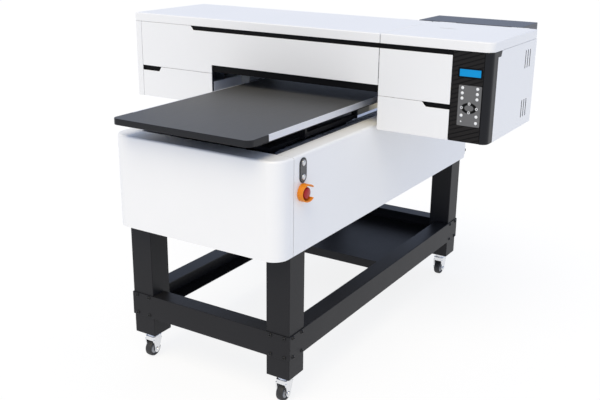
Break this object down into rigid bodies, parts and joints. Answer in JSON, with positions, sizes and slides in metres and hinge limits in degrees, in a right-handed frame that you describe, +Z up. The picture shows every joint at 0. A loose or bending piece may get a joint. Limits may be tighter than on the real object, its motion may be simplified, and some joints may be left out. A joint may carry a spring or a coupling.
{
  "type": "flatbed uv printer",
  "caption": "Flatbed UV printer with a sliding, lifting bed on a boxed base, a bridge-type print head with hinged covers and a rolling square-tube stand.",
  "frame": {"origin": "on the floor, under the centre of the whole machine's bounding box", "axes": "+Z up, front of the bed towards -Y, control panel on the +X side"},
  "size_m": [1.4, 1.476, 1.098],
  "materials": {
    "black_frame": "satin black powder coat",
    "black_bolt": "black oxide",
    "caster_metal": "bright plated steel",
    "caster_tyre": "smooth black tread",
    "chassis": "plain grey paint",
    "rail_steel": "ground rail steel",
    "white_cover": "satin white powder coat",
    "knob": "black moulded",
    "button_plate": "dark grey moulded",
    "button_metal": "polished caps",
    "guard_yellow": "orange yellow moulded",
    "mushroom_red": "red moulded",
    "enclosure": "grey paint",
    "motor_black": "black",
    "pulley_metal": "turned",
    "belt": "toothed belt",
    "chain_plastic": "black moulded links",
    "carriage_black": "black anodised",
    "platen_top": "matt dark grey",
    "strip": "satin",
    "carriage_cover": "dark grey",
    "head_metal": "plain",
    "tank": "milky bottle",
    "pan": "pale grey",
    "panel_black": "black, woven look",
    "column_black": "plain black satin",
    "screen": "lit blue display",
    "keypad_grey": "grey overlay",
    "cabinet_grey": "dark grey powder coat"
  },
  "bodies": {
    "base": {"stand_legs": "black_frame", "stand_beams": "black_frame", "stand_bolts": "black_bolt", "shelf_tray": "black_frame", "base_chassis": "chassis", "linear_rails": "rail_steel", "base_front_cover": "white_cover", "base_left_cover": "white_cover", "base_right_cover": "white_cover", "base_rear_cover": "white_cover", "rear_knobs": "knob", "button_plate": "button_plate", "estop_guard": "guard_yellow", "electronics_box": "enclosure", "drive_motors": "motor_black", "bed_belt": "belt", "drag_chain": "chain_plastic", "gantry_uprights": "chassis", "gantry_beam": "carriage_black", "carriage_belt": "belt", "capping_station": "enclosure", "ink_tanks": "tank", "head_pans": "pan", "head_rear_panel": "white_cover", "left_side_cover": "white_cover", "right_side_cover": "white_cover", "front_cover": "white_cover", "right_panel": "white_cover", "control_panel": "panel_black", "lcd": "screen", "keypad": "keypad_grey", "corner_column": "column_black", "rear_cabinet": "cabinet_grey", "hinge_pins": "rail_steel", "recess_liners": "column_black"},
    "fork_fl": {"caster_fork_fl": "caster_metal"},
    "wheel_fl": {"caster_wheel_fl": "caster_tyre"},
    "fork_fr": {"caster_fork_fr": "caster_metal"},
    "wheel_fr": {"caster_wheel_fr": "caster_tyre"},
    "fork_rl": {"caster_fork_rl": "caster_metal"},
    "wheel_rl": {"caster_wheel_rl": "caster_tyre"},
    "fork_rr": {"caster_fork_rr": "caster_metal"},
    "wheel_rr": {"caster_wheel_rr": "caster_tyre"},
    "bed_carriage": {"bed_carriage": "carriage_black"},
    "bed": {"platen_frame": "carriage_black", "platen": "platen_top", "platen_strips": "strip"},
    "print_carriage": {"print_carriage": "carriage_cover", "print_heads": "head_metal"},
    "bed_pulley": {"bed_pulley": "pulley_metal"},
    "bed_idler": {"bed_idler": "pulley_metal"},
    "carriage_pulley": {"carriage_pulley": "pulley_metal"},
    "carriage_idler": {"carriage_idler": "pulley_metal"},
    "top_cover": {"top_cover": "white_cover"},
    "right_lid": {"right_lid": "white_cover"},
    "left_door": {"left_door": "white_cover"},
    "right_door": {"right_door": "white_cover"},
    "power_button": {"power_button": "button_metal"},
    "light_button": {"light_button": "button_metal"},
    "estop_mushroom": {"estop_mushroom": "mushroom_red"}
  },
  "joints": [
    {"name": "caster_swivel_fl", "type": "hinge", "parent": "base", "child": "fork_fl", "pos_m": [-0.2685, -0.578, 0.09], "axis": [0, 0, 1], "continuous": true},
    {"name": "caster_spin_fl", "type": "hinge", "parent": "fork_fl", "child": "wheel_fl", "pos_m": [-0.2685, -0.586, 0.028], "axis": [1, 0, 0], "continuous": true},
    {"name": "caster_swivel_fr", "type": "hinge", "parent": "base", "child": "fork_fr", "pos_m": [0.2685, -0.578, 0.09], "axis": [0, 0, 1], "continuous": true},
    {"name": "caster_spin_fr", "type": "hinge", "parent": "fork_fr", "child": "wheel_fr", "pos_m": [0.2685, -0.586, 0.028], "axis": [1, 0, 0], "continuous": true},
    {"name": "caster_swivel_rl", "type": "hinge", "parent": "base", "child": "fork_rl", "pos_m": [-0.2685, 0.639, 0.09], "axis": [0, 0, 1], "continuous": true},
    {"name": "caster_spin_rl", "type": "hinge", "parent": "fork_rl", "child": "wheel_rl", "pos_m": [-0.2685, 0.631, 0.028], "axis": [1, 0, 0], "continuous": true},
    {"name": "caster_swivel_rr", "type": "hinge", "parent": "base", "child": "fork_rr", "pos_m": [0.2685, 0.639, 0.09], "axis": [0, 0, 1], "continuous": true},
    {"name": "caster_spin_rr", "type": "hinge", "parent": "fork_rr", "child": "wheel_rr", "pos_m": [0.2685, 0.631, 0.028], "axis": [1, 0, 0], "continuous": true},
    {"name": "bed_slide", "type": "slide", "parent": "base", "child": "bed_carriage", "axis": [0, 1, 0], "range_m": [0, 0.6]},
    {"name": "bed_lift", "type": "slide", "parent": "bed_carriage", "child": "bed", "axis": [0, 0, 1], "range_m": [-0.025, 0.014]},
    {"name": "print_carriage_slide", "type": "slide", "parent": "base", "child": "print_carriage", "axis": [-1, 0, 0], "range_m": [0, 1]},
    {"name": "bed_drive_pulley", "type": "hinge", "parent": "base", "child": "bed_pulley", "pos_m": [0, 0.63, 0.772], "axis": [-1, 0, 0], "range_deg": [-5, 2610]},
    {"name": "bed_idler_pulley", "type": "hinge", "parent": "base", "child": "bed_idler", "pos_m": [0, -0.57, 0.772], "axis": [-1, 0, 0], "range_deg": [-5, 2610]},
    {"name": "carriage_drive_pulley", "type": "hinge", "parent": "base", "child": "carriage_pulley", "pos_m": [-0.61, 0, 0.957], "axis": [0, 1, 0], "range_deg": [-5, 4345]},
    {"name": "carriage_idler_pulley", "type": "hinge", "parent": "base", "child": "carriage_idler", "pos_m": [0.61, 0, 0.957], "axis": [0, 1, 0], "range_deg": [-5, 4345]},
    {"name": "top_cover_hinge", "type": "hinge", "parent": "base", "child": "top_cover", "pos_m": [0, 0.293, 1.093], "axis": [-1, 0, 0], "range_deg": [0, 75]},
    {"name": "right_lid_hinge", "type": "hinge", "parent": "base", "child": "right_lid", "pos_m": [0.5, 0.293, 1.093], "axis": [-1, 0, 0], "range_deg": [0, 75]},
    {"name": "left_door_hinge", "type": "hinge", "parent": "base", "child": "left_door", "pos_m": [-0.5, -0.1205, 0.791], "axis": [1, 0, 0], "range_deg": [0, 80]},
    {"name": "right_door_hinge", "type": "hinge", "parent": "base", "child": "right_door", "pos_m": [0.45, -0.1205, 0.791], "axis": [1, 0, 0], "range_deg": [0, 80]},
    {"name": "power_button_press", "type": "slide", "parent": "base", "child": "power_button", "axis": [-1, 0, 0], "range_m": [0, 0.003], "stiffness_N_per_m": 800},
    {"name": "light_button_press", "type": "slide", "parent": "base", "child": "light_button", "axis": [-1, 0, 0], "range_m": [0, 0.003], "stiffness_N_per_m": 800},
    {"name": "estop_press", "type": "slide", "parent": "base", "child": "estop_mushroom", "axis": [-1, 0, 0], "range_m": [0, 0.005], "stiffness_N_per_m": 2500}
  ],
  "couplings": [
    {"joint": "bed_drive_pulley", "follows": "bed_slide", "rad_per_m": 75.758},
    {"joint": "bed_idler_pulley", "follows": "bed_slide", "rad_per_m": 75.758},
    {"joint": "carriage_drive_pulley", "follows": "print_carriage_slide", "rad_per_m": 75.758},
    {"joint": "carriage_idler_pulley", "follows": "print_carriage_slide", "rad_per_m": 75.758}
  ]
}
